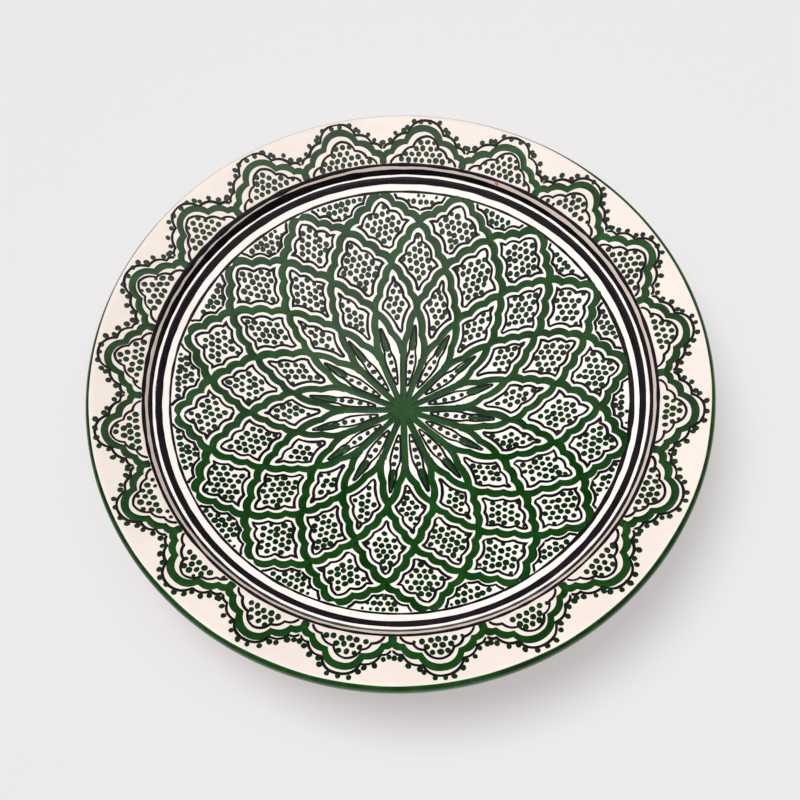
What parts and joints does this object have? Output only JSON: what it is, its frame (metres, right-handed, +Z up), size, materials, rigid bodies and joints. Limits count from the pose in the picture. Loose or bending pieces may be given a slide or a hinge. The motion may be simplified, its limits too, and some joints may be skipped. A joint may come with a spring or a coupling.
{
  "type": "serving dish",
  "caption": "Large round earthenware serving dish with a dished well, a stepped moulding, a wide flange and a turned foot ring, glazed white and painted with a green lattice rosette and petals.",
  "frame": {"origin": "centre of the foot ring, on the surface the dish stands on", "axes": "+Z up along the dish's axis; the painted rosette and petals repeat about +Z, and +X and +Y lie along the table"},
  "size_m": [0.4, 0.4, 0.0695],
  "materials": {
    "red_clay": "bare fired red earthenware, matt, with turning marks",
    "white_glaze": "glossy warm white glaze, slightly mottled",
    "green_enamel": "glossy deep green, brushed and pooled under the glaze",
    "black_enamel": "glossy blue-black, brushed thinly enough to show streaks"
  },
  "bodies": {
    "root": {"clay_body": "red_clay", "foot_ring": "red_clay", "face_glaze": "white_glaze", "lip_band": "green_enamel", "back_glaze": "white_glaze", "base_glaze": "white_glaze", "flange_line": "black_enamel", "step_line": "black_enamel", "well_band": "black_enamel", "rosette_border": "black_enamel", "rosette_bands": "green_enamel", "petal_bands": "green_enamel"}
  },
  "joints": []
}
